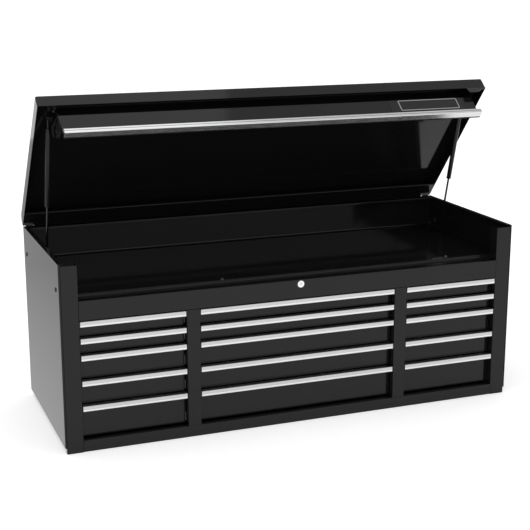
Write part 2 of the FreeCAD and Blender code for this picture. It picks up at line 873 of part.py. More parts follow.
def lid_tab(body):
    """The flared lifting tab below the right end of the lid's front."""
    outer = HALF_WIDTH
    inner = HALF_WIDTH - V.tab_length
    low = LID_BOTTOM - V.tab_height
    back = LID_FRONT + V.gauge
    section = [(LID_FRONT, LID_BOTTOM), (LID_FRONT - V.tab_flare, low), (back - V.tab_flare, low),
               (back, LID_BOTTOM)]
    pad(body, "X", section, (inner, outer))
    through = (LID_FRONT - V.tab_flare - V.overrun, back + V.overrun)
    below = low - V.overrun
    pocket(body, "Y", [(outer - V.tab_chamfer, low), (outer, LID_BOTTOM), (outer + V.overrun, LID_BOTTOM),
                       (outer + V.overrun, below), (outer - V.tab_chamfer, below)], through)
    pocket(body, "Y", [(inner, LID_BOTTOM), (inner + V.tab_inner_slant, low), (inner + V.tab_inner_slant, below),
                       (inner - V.overrun, below), (inner - V.overrun, LID_BOTTOM)], through)


def make_lid_rail():
    """The channel inside the lid's rear wall that the hinge is fastened through."""
    rear = LID_REAR - V.gauge
    front = LID_REAR - V.lid_rail_depth
    path = [(front, LID_BOTTOM + V.lid_rail_lip), (front, LID_BOTTOM), (rear, LID_BOTTOM),
            (rear, LID_BOTTOM + V.lid_rail_leg)]
    half = HALF_WIDTH - V.gauge
    body = folded_body("LidRail", "X", path, (-half, half))
    keep(hang_on_lid(body), "lid_rear_rail")


def make_front_panel():
    """The lid's drop front: face, shelf and a rear web up to the lid's underside."""
    under_lid = LID_TOP - V.gauge * 2
    web = PANEL_FRONT + V.panel_shelf
    path = [(web - V.panel_weld_flange, under_lid), (web, under_lid), (web, PANEL_TOP),
            (PANEL_FRONT, PANEL_TOP), (PANEL_FRONT, PANEL_BOTTOM), (PANEL_FRONT + V.panel_foot, PANEL_BOTTOM)]
    body = folded_body("FrontPanel", "X", path, (-PANEL_HALF_WIDTH, PANEL_HALF_WIDTH))
    keep(hang_on_lid(body), "front_panel")


def panel_cheek(side):
    """An end plate of the drop front: a tab under the lid and a tail behind a notch."""
    body = new_body("Cheek")
    outer = (PANEL_HALF_WIDTH + V.cheek_thickness) * side
    inner = PANEL_HALF_WIDTH * side
    top = LID_TOP - V.gauge
    front = PANEL_FRONT
    rear = PANEL_FRONT + V.cheek_length
    low_corner = (front, LID_TOP - V.cheek_corner_depth)
    tail_low = (rear, LID_TOP - V.cheek_tail_low)
    tail_top = (rear - V.cheek_tail_slant, LID_TOP - V.cheek_tail_top)
    notch = (front + V.cheek_notch_setback, LID_TOP - V.cheek_notch_depth)
    tab_rear = (front + V.cheek_tab_length, top)
    pad(body, "X", [(front, top), low_corner, tail_low, tail_top, notch, tab_rear], (inner, outer))
    round_edges(body, "X", [low_corner], V.cheek_radius)
    round_edges(body, "X", [tail_low, tail_top], V.cheek_tail_radius)
    return body


def make_lid_pull():
    """The full-width pull along the drop front's lower edge."""
    body = new_body("LidPull")
    front = FRONT - V.lid_pull_reach - HINGE_Y
    top = PANEL_BOTTOM + V.pull_height
    half = PANEL_HALF_WIDTH
    outline = pull_outline(front, PANEL_FRONT, top, PANEL_FRONT - front)
    pad(body, "X", outline, (-half, half))
    round_edges(body, "X", [(front, top), (front, PANEL_BOTTOM)], V.pull_rounding)
    keep(hang_on_lid(body), "lid_pull")


# Gas struts


def strut_places():
    """The lower and upper pivots, the upper one with the lid open and closed."""
    foot = (FRONT + V.strut_foot_from_front, TILL_FLOOR + V.strut_foot_lift)
    head = (FRONT + V.strut_head_from_front - HINGE_Y, LID_TOP - V.strut_head_drop)
    angle = math.radians(-V.lid_open_angle.value)
    across, up = head[0].value, head[1].value
    opened = (HINGE_Y.value + across * math.cos(angle) - up * math.sin(angle),
              HINGE_Z.value + across * math.sin(angle) + up * math.cos(angle))
    closed = (HINGE_Y.value + across, HINGE_Z.value + up)
    return foot, head, opened, closed


def strut_length(end):
    foot = strut_places()[0]
    return math.dist((foot[0].value, foot[1].value), end)


def strut_angle(end):
    foot = strut_places()[0]
    return math.degrees(math.atan2(end[1] - foot[1].value, end[0] - foot[0].value))


def floor_bracket(side):
    """A bracket on the till's floor, with the stud that the strut's rod turns on."""
    across, up = strut_places()[0]
    centre = HALF_WIDTH - V.strut_inset
    near = centre + V.eye_thickness / 2 + V.bracket_gap
    half = V.base_length / 2
    base_top = TILL_FLOOR + V.bracket_thickness
    body = new_body("FloorBracket")
    ends = ((centre - V.base_inner_reach) * side, (centre + V.base_outer_reach) * side)
    pad(body, "X", rectangle((across - half, TILL_FLOOR), (across + half, base_top)), ends)
    ear = rectangle((across - half, TILL_FLOOR), (across + half, up + V.stud_radius * 2))
    pad(body, "X", ear, (near * side, (near + V.bracket_thickness) * side))
    rod(body, "X", (across, up), V.stud_radius, ((centre - V.eye_thickness / 2) * side, near * side))
    for place in (centre - V.base_inner_reach + V.screw_inset, centre + V.base_outer_reach - V.screw_inset):
        rod(body, "Z", (place * side, across), V.screw_radius, (base_top, base_top + V.screw_head))
    return body


def lid_bracket(side):
    """A bracket under the lid, whose stud ends just beside the strut's upper eye."""
    across, up = strut_places()[1]
    centre = HALF_WIDTH - V.strut_inset
    near = centre - V.eye_thickness / 2 - V.bracket_gap
    far = near - V.bracket_thickness
    half = V.bracket_length / 2
    surface = LID_TOP - V.gauge
    base_under = surface - V.bracket_thickness
    body = new_body("LidBracket")
    ear = rectangle((across - half, up - V.stud_radius * 2), (across + half, surface))
    pad(body, "X", ear, (far * side, near * side))
    base = rectangle((across - half, base_under), (across + half, surface))
    pad(body, "X", base, (near * side, (near + V.bracket_foot) * side))
    stud_end = centre - V.eye_thickness / 2 - V.stud_side_gap
    rod(body, "X", (across, up), V.stud_radius, (near * side, stud_end * side))
    for place in (across - half + V.screw_inset, across + half - V.screw_inset):
        rod(body, "Z", ((near + V.bracket_foot / 2) * side, place), V.screw_radius,
            (base_under - V.screw_head, base_under))
    return body


def stand_on_foot(body):
    """Set a strut's piece on the lower pivot, along the line to the upper one."""
    foot, head, opened, closed = strut_places()
    body.Placement = FreeCAD.Placement(
        FreeCAD.Vector(0, foot[0].value, foot[1].value),
        FreeCAD.Rotation(FreeCAD.Vector(1, 0, 0), strut_angle(opened)))
    return body


def make_strut(side):
    """A gas strut drawn along +Y from its lower pivot: rod and piston, tube and eye."""
    foot, head, opened, closed = strut_places()
    # The open length is measured between the pivots, so it follows their places
    length = Size(strut_length(opened), "%.6f" % strut_length(opened))
    centre = (HALF_WIDTH - V.strut_inset) * side
    half = V.eye_thickness / 2
    eye_ends = (centre - half, centre + half)
    through = (centre - V.eye_thickness, centre + V.eye_thickness)
    stud_hole = V.stud_radius + V.eye_play
    tube_end = length - V.neck_length
    tube_start = tube_end - V.tube_length
    rod_body = new_body("StrutRod")
    rod(rod_body, "X", (NONE, NONE), V.eye_radius, eye_ends)
    piston_top = tube_start + V.tube_guide + V.piston_length
    rod(rod_body, "Y", (centre, NONE), V.rod_radius, (V.eye_radius / 2, piston_top))
    rod(rod_body, "Y", (centre, NONE), V.rod_collar_radius, (V.eye_radius / 2, V.rod_collar_length))
    piston_radius = V.tube_radius - V.tube_wall - V.piston_play
    rod(rod_body, "Y", (centre, NONE), piston_radius, (tube_start + V.tube_guide, piston_top))
    bore(rod_body, "X", (NONE, NONE), stud_hole, through)
    keep(stand_on_foot(rod_body), "strut_rod_" + side_name(side))
    tube = new_body("StrutTube")
    rod(tube, "Y", (centre, NONE), V.tube_radius, (tube_start, tube_end))
    rod(tube, "X", (length, NONE), V.eye_radius, eye_ends)
    rod(tube, "Y", (centre, NONE), V.neck_radius, (tube_end, length - V.eye_radius / 2))
    rod(tube, "Y", (centre, NONE), V.collar_radius, (tube_end - V.collar_length, tube_end))
    inside = V.tube_radius - V.tube_wall
    bore(tube, "Y", (centre, NONE), inside, (tube_start + V.tube_cap, tube_end - V.tube_cap))
    guide = (tube_start - V.overrun, tube_start + V.tube_guide)
    bore(tube, "Y", (centre, NONE), V.rod_radius + V.rod_play, guide)
    bore(tube, "X", (length, NONE), stud_hole, through)
    keep(stand_on_foot(tube), "strut_tube_" + side_name(side))


def build():
    for side in (-1, 1):
        make_side_panel(side)
        make_stile(side)
        make_divider(side)
        make_strut(side)
    keep(add_pair("InnerWalls", inner_wall), "inner_walls")
    keep(hang_on_lid(add_pair("PanelCheeks", panel_cheek)), "panel_cheeks")
    keep(add_pair("FloorBrackets", floor_bracket), "strut_brackets_lower")
    keep(hang_on_lid(add_pair("LidBrackets", lid_bracket)), "strut_brackets_upper")
    make_side_plugs()
    make_bottom_rail()
    make_top_rail()
    make_base_pan()
    make_back_panel()
    make_till_floor()
    make_slide_channels()
    make_drawers()
    make_lock_body()
    make_lock_plug()
    make_hinge()
    make_lid_shell()
    make_lid_rail()
    make_front_panel()
    make_lid_pull()
    doc.recompute()


def check():
    """Every object is sound before anything is written."""
    for item in doc.Objects:
        faults = [word for word in item.State if word in ("Invalid", "Error")]
        assert not faults, (item.Name, item.Label, item.State)
    for piece in SUB_PARTS:
        assert not piece.Shape.isNull(), piece.Label
        assert piece.Shape.isValid(), piece.Label
    assert len({piece.Label for piece in SUB_PARTS}) == len(SUB_PARTS)


def write():
    os.makedirs("parts", exist_ok=True)
    for piece in SUB_PARTS:
        piece.Shape.exportStep("parts/%s.step" % piece.Label)


build()
check()
write()
foot, head, opened, closed = strut_places()
print("sub-parts", len(SUB_PARTS))
print("strut length open and closed", round(strut_length(opened), 3), round(strut_length(closed), 3))
print("strut angle open and closed", round(strut_angle(opened), 3), round(strut_angle(closed), 3))
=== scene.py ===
import json
import math

import bmesh
import bpy
from mathutils import Matrix, Vector


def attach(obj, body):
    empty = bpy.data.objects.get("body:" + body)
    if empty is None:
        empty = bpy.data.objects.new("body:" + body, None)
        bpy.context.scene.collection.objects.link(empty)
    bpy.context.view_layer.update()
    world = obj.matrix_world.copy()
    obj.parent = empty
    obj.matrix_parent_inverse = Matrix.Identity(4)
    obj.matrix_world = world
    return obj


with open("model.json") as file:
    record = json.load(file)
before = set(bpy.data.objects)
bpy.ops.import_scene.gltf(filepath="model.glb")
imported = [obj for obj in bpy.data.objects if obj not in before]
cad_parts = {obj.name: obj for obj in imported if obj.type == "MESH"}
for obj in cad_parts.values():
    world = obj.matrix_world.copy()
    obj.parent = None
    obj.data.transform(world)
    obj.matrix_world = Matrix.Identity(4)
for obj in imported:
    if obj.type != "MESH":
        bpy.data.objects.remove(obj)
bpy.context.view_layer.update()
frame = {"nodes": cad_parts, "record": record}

# The camera as fitted to the case's own edges: place in metres, angles in degrees
CAMERA_PLACE = (-1.5507, -4.0077, 1.5861)
CAMERA_AZIMUTH = 20.99
CAMERA_ELEVATION = 14.19
CAMERA_LENS = 81.76
SENSOR_WIDTH = 36

# The stage: half the floor's width in metres, tones, and the strengths of the world and the floor's lift
FLOOR_HALF = 120
BACKGROUND_WHITE = (1.0, 1.0, 1.0, 1.0)
PAPER_WHITE = (0.92, 0.92, 0.92, 1.0)
WORLD_LIGHT = 0.8
FLOOR_LIFT = 0.42

# Cards out of the camera's sight: corners in metres, and how bright the paint mirrors them
CARDS = {
    "back_card": (((0.63, 7.0, 1.3), (6.17, 3.8, 1.3), (6.17, 3.8, 4.5), (0.63, 7.0, 4.5)), 0.02),
    "top_card": (((0.5, -2.5, 3.1), (4.5, -2.5, 3.1), (4.5, 2.5, 3.1), (0.5, 2.5, 3.1)), 0.72),
}
# A card on the floor beside the chest: its corners, and how its level falls with the distance behind
FLOOR_CARD = ((-3.2, -0.6, 0.0015), (-0.842, -0.6, 0.0015), (-0.842, 7.0, 0.0015), (-3.2, 7.0, 0.0015))
FLOOR_CARD_NEAR = (0.0, 0.87)
FLOOR_CARD_FAR = (2.3, 0.56)
CARD_BLACK = (0.01, 0.01, 0.01, 1)
# Lamps: place, the point they face, width and height in metres, and watts
LAMPS = {
    "overhead": ((-0.6, -0.3, 3.6), (-0.6, -0.3, 0), (3.6, 4), 13),
    "low_left": ((-1.5, 0.75, 1.05), (-1.4, 0.65, 0), (1.5, 1.5), 0.8),
}

# Places on the chest in metres, as in the part
CASE_FRONT = -0.3105
CASE_BACK = 0.3105
HINGE_AXIS = (0.3141, 0.639)
LID_TOP_LEVEL = 0.6955
LID_OPEN_ANGLE = 50
PANEL_FACE = 0.017
CHEEK_FACE = 0.773
TILL_FLOOR_LEVEL = 0.528
LEAF_THICKNESS = 0.0014
LID_REAR_OVERHANG = 0.0004
# Down the lid pull's face, with the lid open, and how far down it the groove lies, along which shade is
# painted
LID_FACE_DOWN = (0, -math.sin(math.radians(LID_OPEN_ANGLE)), -math.cos(math.radians(LID_OPEN_ANGLE)))
LID_PULL_GROOVE = -0.5482

# Small pieces in metres. Places on the lid's cheeks: how far behind the case's front, and how deep under
# the lid's top, with the lid closed. A screw's size is its head's radius and height.
CHEEK_PAD = ((0.0926, 0.041), (0.031, 0.097), (0.049, 0.121), (0.110, 0.063))
CHEEK_PAD_HEIGHT = 0.0022
CHEEK_PAD_EASING = 0.0009
CHEEK_SCREW_PLACE = (0.058, 0.0135)
CHEEK_SCREW_SIZE = (0.0042, 0.0022)
# Rectangles on the drop front: low and high corner as (x, depth), and the corners' radius
BADGE_PLATE = ((0.427, 0.0733), (0.7275, 0.1475), 0.003)
BADGE_THICKNESS = 0.0008
BADGE_LINE_OUTER = ((0.4655, 0.0748), (0.706, 0.1245), 0.005)
BADGE_LINE_INNER = ((0.4693, 0.0784), (0.7022, 0.1209), 0.0018)
BADGE_LINE_HEIGHT = 0.0004
# The nose's outline as (y, z), with y counted from the case's front
TILL_NOSE = ((0.0588, 0.5211), (0.0616, 0.529), (0.0624, 0.5294), (0.0634, 0.529), (0.0640, 0.5211))
TILL_NOSE_HALF_WIDTH = 0.7756
# Each screw head's x and y, with y counted from the case's front, then its radius and height
TILL_SCREWS = (((-0.262, 0.071), (0.0042, 0.0055)), ((0.6085, 0.0785), (0.006, 0.0075)))
# Low and high corner as (x, y), and the corners' radius
TILL_STRIKE = ((0.547, CASE_FRONT + 0.0655), (0.592, CASE_FRONT + 0.0725), 0.002)
TILL_STRIKE_HEIGHT = 0.0045
# Dark strips beside the hinge's ends, put there as painted shade: both edges from the middle, both levels,
# and how far behind the case's back
HINGE_END_REACH = (0.7996, 0.8285)
HINGE_END_LEVELS = (0.6298, 0.6488)
HINGE_END_SETBACK = 0.0032
HINGE_END_ROUNDING = 0.0015
HINGE_END_THICKNESS = 0.0011
# Rivets: the first one's x, how far below and above the hinge's axis they lie, and a head's radius and height
RIVET_START = -0.76
RIVET_SPACING = 0.152
RIVET_COUNT = 11
RIVET_OFFSET = 0.0155
RIVET_SIZE = (0.0032, 0.0014)


# Materials


def new_material(name):
    """A node material with its Principled shader, ready for links."""
    material = bpy.data.materials.new(name)
    material.use_nodes = True
    nodes = material.node_tree.nodes
    shader = nodes["Principled BSDF"]
    return material, nodes, material.node_tree.links, shader


def object_coordinates(nodes, links, scale):
    """Object coordinates stretched by a scale along each axis."""
    source = nodes.new("ShaderNodeTexCoord")
    mapping = nodes.new("ShaderNodeMapping")
    mapping.inputs["Scale"].default_value = scale
    links.new(source.outputs["Object"], mapping.inputs["Vector"])
    return mapping.outputs["Vector"]


def noise(nodes, links, vector, scale, detail=2.0):
    """The value of a noise texture."""
    texture = nodes.new("ShaderNodeTexNoise")
    texture.inputs["Scale"].default_value = scale
    texture.inputs["Detail"].default_value = detail
    links.new(vector, texture.inputs["Vector"])
    return texture.outputs["Fac"]


def spread(nodes, links, factor, low, high):
    """A noise value mapped onto a range."""
    ramp = nodes.new("ShaderNodeMapRange")
    ramp.inputs["From Min"].default_value = 0.3
    ramp.inputs["From Max"].default_value = 0.7
    ramp.inputs["To Min"].default_value = low
    ramp.inputs["To Max"].default_value = high
    links.new(factor, ramp.inputs["Value"])
    return ramp.outputs["Result"]


def tint(nodes, links, factor, dark, light):
    """A colour that wanders between two near tones."""
    mix = nodes.new("ShaderNodeMix")
    mix.data_type = "RGBA"
    mix.inputs["A"].default_value = dark
    mix.inputs["B"].default_value = light
    links.new(factor, mix.inputs["Factor"])
    return mix.outputs["Result"]


def relief(nodes, links, shader, height, strength, distance):
    """A fine relief on the shader's surface."""
    bump = nodes.new("ShaderNodeBump")
    bump.inputs["Strength"].default_value = strength
    bump.inputs["Distance"].default_value = distance
    links.new(height, bump.inputs["Height"])
    links.new(bump.outputs["Normal"], shader.inputs["Normal"])


def band(nodes, links, value, start, end):
    """Nought below the start and one above the end of a coordinate, smooth between."""
    step = nodes.new("ShaderNodeMapRange")
    step.interpolation_type = "SMOOTHSTEP"
    step.inputs["From Min"].default_value = start
    step.inputs["From Max"].default_value = end
    links.new(value, step.inputs["Value"])
    return step.outputs["Result"]


def powder_coat():
    """Glossy black powder coat with a very fine orange-peel skin."""
    material, nodes, links, shader = new_material("black_powder_coat")
    shader.inputs["Specular IOR Level"].default_value = 0.27
    vector = object_coordinates(nodes, links, (1, 1, 1))
    cloud = noise(nodes, links, vector, 6.0)
    peel = noise(nodes, links, vector, 260.0, 3.0)
    links.new(tint(nodes, links, cloud, (0.007, 0.007, 0.0072, 1), (0.009, 0.009, 0.0093, 1)),
              shader.inputs["Base Color"])
    links.new(spread(nodes, links, cloud, 0.07, 0.1), shader.inputs["Roughness"])
    relief(nodes, links, shader, peel, 0.02, 0.0002)
    return material


def upper_part_shade_zone(nodes, links):
    """One on the upper two thirds of a pull's height, nought below: the upper part takes the painted shade,
    the lower third the painted highlight.
    """
    source = nodes.new("ShaderNodeTexCoord")
    parts = nodes.new("ShaderNodeSeparateXYZ")
    links.new(source.outputs["Generated"], parts.inputs["Vector"])
    return band(nodes, links, parts.outputs["Z"], 0.33, 0.39)


def groove_shade_zone(nodes, links):
    """Nought in the fine groove along the lid pull's face, where shade is painted as a dark line, one beside
    it.
    """
    source = nodes.new("ShaderNodeTexCoord")
    down = nodes.new("ShaderNodeVectorMath")
    down.operation = "DOT_PRODUCT"
    down.inputs[1].default_value = LID_FACE_DOWN
    links.new(source.outputs["Object"], down.inputs[0])
    offset = nodes.new("ShaderNodeMath")
    offset.operation = "SUBTRACT"
    offset.inputs[1].default_value = LID_PULL_GROOVE
    links.new(down.outputs["Value"], offset.inputs[0])
    distance = nodes.new("ShaderNodeMath")
    distance.operation = "ABSOLUTE"
    links.new(offset.outputs["Value"], distance.inputs[0])
    return band(nodes, links, distance.outputs["Value"], 0.0014, 0.0026)


def extruded_aluminium(name, zone, lower, upper):
    """Satin anodised extrusion, drawn along X, in two tones that a zone divides: painted light and shade on
    one metal.
    """
    material, nodes, links, shader = new_material(name)
    shader.inputs["Metallic"].default_value = 1.0
    vector = object_coordinates(nodes, links, (0.6, 60, 60))
    streak = noise(nodes, links, vector, 30.0, 4.0)
    dark = tint(nodes, links, streak, lower, tuple(part * 1.06 for part in lower))
    light = tint(nodes, links, streak, upper, tuple(part * 1.06 for part in upper))
    mix = nodes.new("ShaderNodeMix")
    mix.data_type = "RGBA"
    links.new(dark, mix.inputs["A"])
    links.new(light, mix.inputs["B"])
    # The zone lays painted light and shade on the metal: one tone where it is painted lit, the other where it
    # is painted shaded.
    links.new(zone(nodes, links), mix.inputs["Factor"])
    links.new(mix.outputs["Result"], shader.inputs["Base Color"])
    links.new(spread(nodes, links, streak, 0.22, 0.3), shader.inputs["Roughness"])
    relief(nodes, links, shader, streak, 0.04, 0.0002)
    return material


def plain_metal(name, grain_scale, dark, light, smooth, rough):
    """Bare or plated metal whose tone and polish wander with its grain."""
    material, nodes, links, shader = new_material(name)
    shader.inputs["Metallic"].default_value = 1.0
    vector = object_coordinates(nodes, links, (1, 1, 1))
    grain = noise(nodes, links, vector, grain_scale)
    links.new(tint(nodes, links, grain, dark, light), shader.inputs["Base Color"])
    links.new(spread(nodes, links, grain, smooth, rough), shader.inputs["Roughness"])
    return material


def black_plastic():
    """Moulded black plastic with a matt grain."""
    material, nodes, links, shader = new_material("black_plastic")
    vector = object_coordinates(nodes, links, (1, 1, 1))
    grain = noise(nodes, links, vector, 1500.0, 3.0)
    links.new(tint(nodes, links, grain, (0.012, 0.012, 0.012, 1), (0.018, 0.018, 0.018, 1)),
              shader.inputs["Base Color"])
    links.new(spread(nodes, links, grain, 0.45, 0.6), shader.inputs["Roughness"])
    relief(nodes, links, shader, grain, 0.1, 0.0002)
    return material


def plate_grey():
    """The bare badge plate: dark satin with fine drawn lines."""
    material, nodes, links, shader = new_material("badge_plate")
    shader.inputs["Specular IOR Level"].default_value = 0.3
    vector = object_coordinates(nodes, links, (1, 40, 40))
    drawn = noise(nodes, links, vector, 40.0, 3.0)
    links.new(tint(nodes, links, drawn, (0.009, 0.009, 0.0095, 1), (0.012, 0.012, 0.0125, 1)),
              shader.inputs["Base Color"])
    links.new(spread(nodes, links, drawn, 0.2, 0.26), shader.inputs["Roughness"])
    return material


def border_grey():
    """The plain line printed round the badge plate."""
    material, nodes, links, shader = new_material("badge_border")
    vector = object_coordinates(nodes, links, (1, 1, 1))
    ink = noise(nodes, links, vector, 200.0)
    links.new(tint(nodes, links, ink, (0.3, 0.3, 0.3, 1), (0.36, 0.36, 0.36, 1)), shader.inputs["Base Color"])
    links.new(spread(nodes, links, ink, 0.4, 0.5), shader.inputs["Roughness"])
    return material


MATERIALS = {
    "black_paint": powder_coat(),
    # The drawer pulls: the lower third painted lighter as a highlight, the upper two thirds painted darker as
    # shade.
    "pull_aluminium": extruded_aluminium("anodised_aluminium_painted_light", upper_part_shade_zone, (0.71, 0.715, 0.71, 1),
                                         (0.51, 0.515, 0.51, 1)),
    "zinc_steel": plain_metal("zinc_plate", 90.0, (0.5, 0.51, 0.52, 1), (0.62, 0.63, 0.64, 1), 0.3, 0.42),
    "bright_steel": plain_metal("bright_steel", 300.0, (0.74, 0.74, 0.75, 1), (0.8, 0.8, 0.81, 1),
                                0.14, 0.22),
    "dark_steel": plain_metal("nitrided_rod", 400.0, (0.05, 0.05, 0.053, 1), (0.07, 0.07, 0.074, 1),
                              0.2, 0.28),
    "black_plastic": black_plastic(),
}
# The zinc plating darkened as painted shade, for the hinge pin and the fittings in the till.
SHADED_ZINC = plain_metal("zinc_plate_painted_shade", 90.0, (0.09, 0.09, 0.092, 1), (0.13, 0.13, 0.132, 1), 0.3, 0.42)
BADGE = plate_grey()
BORDER = border_grey()
# The lid pull: the pull's aluminium again, with a line of painted shade along its groove.
SHADED_LID_PULL = extruded_aluminium("anodised_lid_pull_groove_shade", groove_shade_zone, (0.34, 0.345, 0.34, 1),
                              (0.68, 0.685, 0.68, 1))
# Nodes in copies of their own: the lid pull with painted groove shade, the hinge pin in zinc darkened as
# painted shade.
DRESSED_APART = {"lid_pull": SHADED_LID_PULL, "hinge_pin": SHADED_ZINC}


def dress_nodes():
    """Give every node the material of its slot, or its own where it has one."""
    for part in frame["record"]["subparts"]:
        piece = frame["nodes"][part["node"]]
        piece.data.materials.clear()
        material = DRESSED_APART.get(part["node"], MATERIALS[part["material_slot"]])
        piece.data.materials.append(material)


# Stage, light and camera


def any_ray(nodes, links, kinds):
    """One for the named kinds of ray, nought for all others."""
    path = nodes.new("ShaderNodeLightPath")
    value = path.outputs[kinds[0]]
    for kind in kinds[1:]:
        either = nodes.new("ShaderNodeMath")
        either.operation = "MAXIMUM"
        links.new(value, either.inputs[0])
        links.new(path.outputs[kind], either.inputs[1])
        value = either.outputs["Value"]
    return value


def floor_material():
    """Pale matt paper that the camera and reflections see a little brighter than it is lit."""
    material, nodes, links, shader = new_material("pale_floor")
    shader.inputs["Base Color"].default_value = PAPER_WHITE
    shader.inputs["Roughness"].default_value = 0.9
    shader.inputs["Specular IOR Level"].default_value = 0.0
    glow = nodes.new("ShaderNodeEmission")
    glow.inputs["Strength"].default_value = FLOOR_LIFT
    total = nodes.new("ShaderNodeAddShader")
    mix = nodes.new("ShaderNodeMixShader")
    links.new(shader.outputs["BSDF"], total.inputs[0])
    links.new(glow.outputs["Emission"], total.inputs[1])
    links.new(any_ray(nodes, links, ("Is Camera Ray", "Is Glossy Ray")), mix.inputs["Fac"])
    links.new(shader.outputs["BSDF"], mix.inputs[1])
    links.new(total.outputs["Shader"], mix.inputs[2])
    links.new(mix.outputs["Shader"], nodes["Material Output"].inputs["Surface"])
    return material


def make_sheet(name, corners, material):
    """A flat sheet between four corners."""
    mesh = bpy.data.meshes.new(name)
    mesh.from_pydata(corners, [], [(0, 1, 2, 3)])
    mesh.materials.append(material)
    sheet = bpy.data.objects.new(name, mesh)
    bpy.context.scene.collection.objects.link(sheet)
    return sheet


def make_floor():
    """The floor, wide enough to meet the background."""
    half = FLOOR_HALF
    corners = [(-half, -half, 0), (half, -half, 0), (half, half, 0), (-half, half, 0)]
    floor = make_sheet("floor", corners, floor_material())


def make_card(name, corners):
    """A card that only reflections see. Returns the nodes, links and shader of its material."""
    material, nodes, links, shader = new_material(name)
    shader.inputs["Base Color"].default_value = CARD_BLACK
    shader.inputs["Specular IOR Level"].default_value = 0.0
    shader.inputs["Emission Color"].default_value = BACKGROUND_WHITE
    card = make_sheet(name, corners, material)
    card.visible_camera = False
    card.visible_diffuse = False
    card.visible_shadow = False
    return nodes, links, shader


def make_cards():
    """Grey cards behind and above the chest, and a graded one on the floor at its left."""
    for name, (corners, level) in CARDS.items():
        nodes, links, shader = make_card(name, corners)
        shader.inputs["Emission Strength"].default_value = level
    nodes, links, shader = make_card("floor_card", FLOOR_CARD)
    source = nodes.new("ShaderNodeTexCoord")
    parts = nodes.new("ShaderNodeSeparateXYZ")
    links.new(source.outputs["Object"], parts.inputs["Vector"])
    grade = nodes.new("ShaderNodeMapRange")
    grade.inputs["From Min"].default_value, grade.inputs["To Min"].default_value = FLOOR_CARD_NEAR
    grade.inputs["From Max"].default_value, grade.inputs["To Max"].default_value = FLOOR_CARD_FAR
    links.new(parts.outputs["Y"], grade.inputs["Value"])
    links.new(grade.outputs["Result"], shader.inputs["Emission Strength"])


def make_world():
    """White all round for the camera and for reflections, softer for the rest."""
    world = bpy.data.worlds.new("studio")
    bpy.context.scene.world = world
    world.use_nodes = True
    nodes = world.node_tree.nodes
    links = world.node_tree.links
    light = nodes["Background"]
    light.inputs["Color"].default_value = BACKGROUND_WHITE
    light.inputs["Strength"].default_value = WORLD_LIGHT
    seen = nodes.new("ShaderNodeBackground")
    seen.inputs["Color"].default_value = BACKGROUND_WHITE
    seen.inputs["Strength"].default_value = 1.0
    mix = nodes.new("ShaderNodeMixShader")
    kinds = ("Is Camera Ray", "Is Glossy Ray", "Is Transmission Ray")
    links.new(any_ray(nodes, links, kinds), mix.inputs["Fac"])
    links.new(light.outputs["Background"], mix.inputs[1])
    links.new(seen.outputs["Background"], mix.inputs[2])
    links.new(mix.outputs["Shader"], nodes["World Output"].inputs["Surface"])


def make_lamps():
    """A broad softbox overhead to the left and a weak low one behind the left side."""
    for name, (place, target, size, power) in LAMPS.items():
        data = bpy.data.lights.new(name, "AREA")
        data.shape = "RECTANGLE"
        data.size, data.size_y = size
        data.energy = power
        lamp = bpy.data.objects.new(name, data)
        lamp.location = place
        lamp.rotation_euler = (Vector(target) - Vector(place)).to_track_quat("-Z", "Y").to_euler()
        bpy.context.scene.collection.objects.link(lamp)


def make_camera():
    """The camera where the photograph was taken from."""
    data = bpy.data.cameras.new("camera")
    data.sensor_fit = "HORIZONTAL"
    data.sensor_width = SENSOR_WIDTH
    data.lens = CAMERA_LENS
    data.clip_end = FLOOR_HALF * 4
    camera = bpy.data.objects.new("camera", data)
    camera.location = CAMERA_PLACE
    camera.rotation_euler = (math.radians(90 - CAMERA_ELEVATION), 0, math.radians(-CAMERA_AZIMUTH))
    bpy.context.scene.collection.objects.link(camera)
    bpy.context.scene.camera = camera


# Small pieces


def finish_mesh(name, bm, material, body, smooth=True):
    """Turn a bmesh into a piece that rides on a body and has a material."""
    mesh = bpy.data.meshes.new(name)
    bmesh.ops.recalc_face_normals(bm, faces=bm.faces)
    bm.to_mesh(mesh)
    bm.free()
    for polygon in mesh.polygons:
        polygon.use_smooth = smooth
    mesh.materials.append(material)
    piece = bpy.data.objects.new(name, mesh)
    bpy.context.scene.collection.objects.link(piece)
    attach(piece, body)


def lathe(bm, outline, matrix, sides):
    """Turn an outline of (radius, height) pairs about local Z and place it by a matrix."""
    rings = []
    for radius, height in outline:
        ring = []
        for step in range(sides):
            angle = 2 * math.pi * step / sides
            point = Vector((radius * math.cos(angle), radius * math.sin(angle), height))
            ring.append(bm.verts.new(matrix @ point))
        rings.append(ring)
    for lower, upper in zip(rings, rings[1:]):
        wall(bm, lower, upper)
    bm.faces.new(rings[0][::-1])
    bm.faces.new(rings[-1])


def facing(place, direction):
    """A matrix that stands local Z along a direction at a place."""
    turn = Vector(direction).to_track_quat("Z", "Y").to_matrix().to_4x4()
    return Matrix.Translation(Vector(place)) @ turn


def lid_place(across, from_front, depth):
    """A place on the open lid, from its place with the lid closed: how far behind the case's
    front, and how deep under the lid's top."""
    angle = math.radians(-LID_OPEN_ANGLE)
    back = CASE_FRONT + from_front - HINGE_AXIS[0]
    up = LID_TOP_LEVEL - depth - HINGE_AXIS[1]
    return Vector((across, HINGE_AXIS[0] + back * math.cos(angle) - up * math.sin(angle),
                   HINGE_AXIS[1] + back * math.sin(angle) + up * math.cos(angle)))


def lid_direction(back, up):
    """A direction on the open lid, from its backward and upward parts with the lid closed."""
    angle = math.radians(-LID_OPEN_ANGLE)
    y = back * math.cos(angle) - up * math.sin(angle)
    z = back * math.sin(angle) + up * math.cos(angle)
    return Vector((0, y, z))


